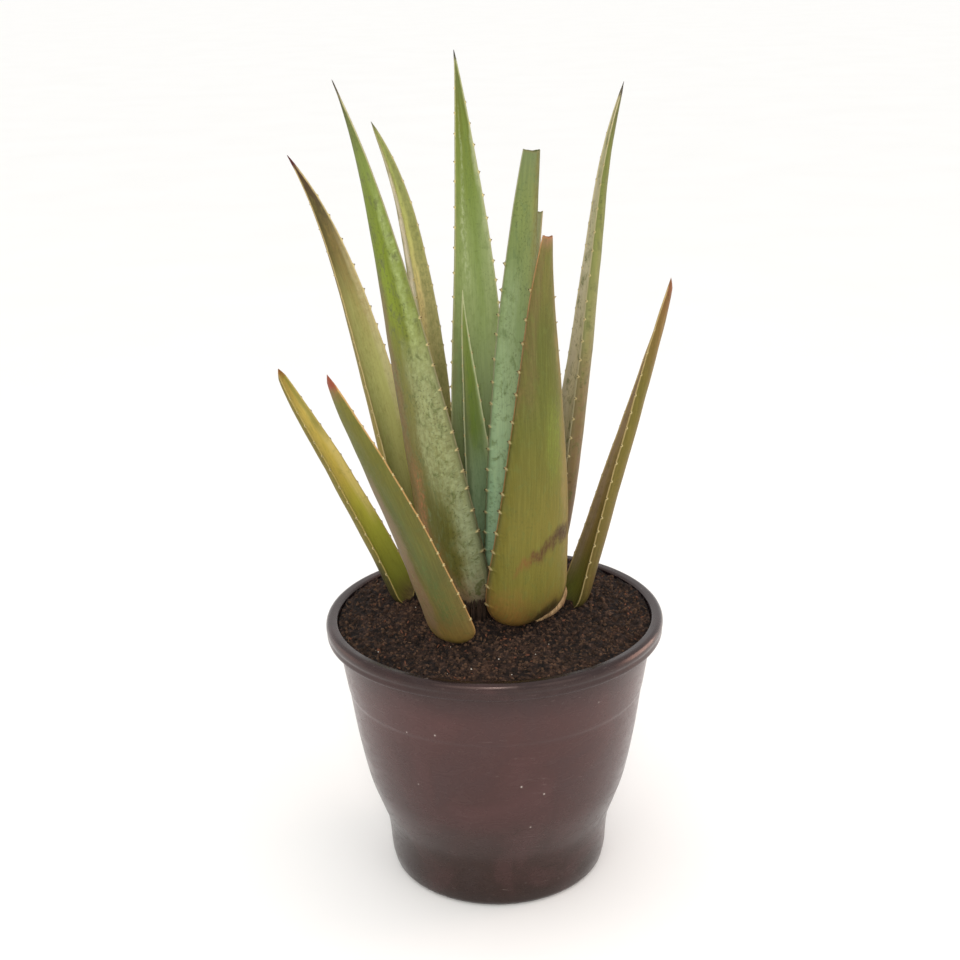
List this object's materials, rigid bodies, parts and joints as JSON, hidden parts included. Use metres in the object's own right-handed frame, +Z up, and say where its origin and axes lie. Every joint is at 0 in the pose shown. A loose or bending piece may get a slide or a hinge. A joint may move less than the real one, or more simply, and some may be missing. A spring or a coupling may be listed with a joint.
{
  "type": "potted aloe plant",
  "caption": "Upright aloe with long channelled leaves, some cut short, on a short crown in dark soil, in a round flared nursery pot with a rolled rim.",
  "frame": {"origin": "centre of the pot's flat underside", "axes": "+Z up along the pot's axis, +X to the right in the plant's front view, +Y away from the viewer"},
  "size_m": [0.3391, 0.3384, 0.7145],
  "materials": {
    "plastic": "dark purple-brown moulded plastic, satin, with fine scratches and a polished rim",
    "soil": "dark crumbly potting soil, matt, with lighter fibres and bark bits",
    "crown": "brown fibrous stem, matt and ragged",
    "leaf_green": "fresh green succulent skin, waxy satin, speckled",
    "leaf_blue": "blue-green succulent skin with a powdery bloom",
    "leaf_olive": "olive succulent skin, waxy satin, with brown blotches",
    "leaf_yellow": "yellowed succulent skin, waxy satin",
    "leaf_brown": "olive succulent skin going dry and brown at the tip"
  },
  "bodies": {
    "root": {"pot": "plastic", "soil": "soil", "crown": "crown", "leaf_left_low": "leaf_yellow", "leaf_front_low": "leaf_olive", "leaf_left_mid": "leaf_brown", "leaf_front_tall": "leaf_green", "leaf_left_back": "leaf_olive", "leaf_back_tallest": "leaf_green", "leaf_heart": "leaf_blue", "leaf_centre_cut": "leaf_blue", "leaf_back_cut": "leaf_green", "leaf_front_cut": "leaf_olive", "leaf_right_tall": "leaf_brown", "leaf_right_low": "leaf_olive"}
  },
  "joints": []
}
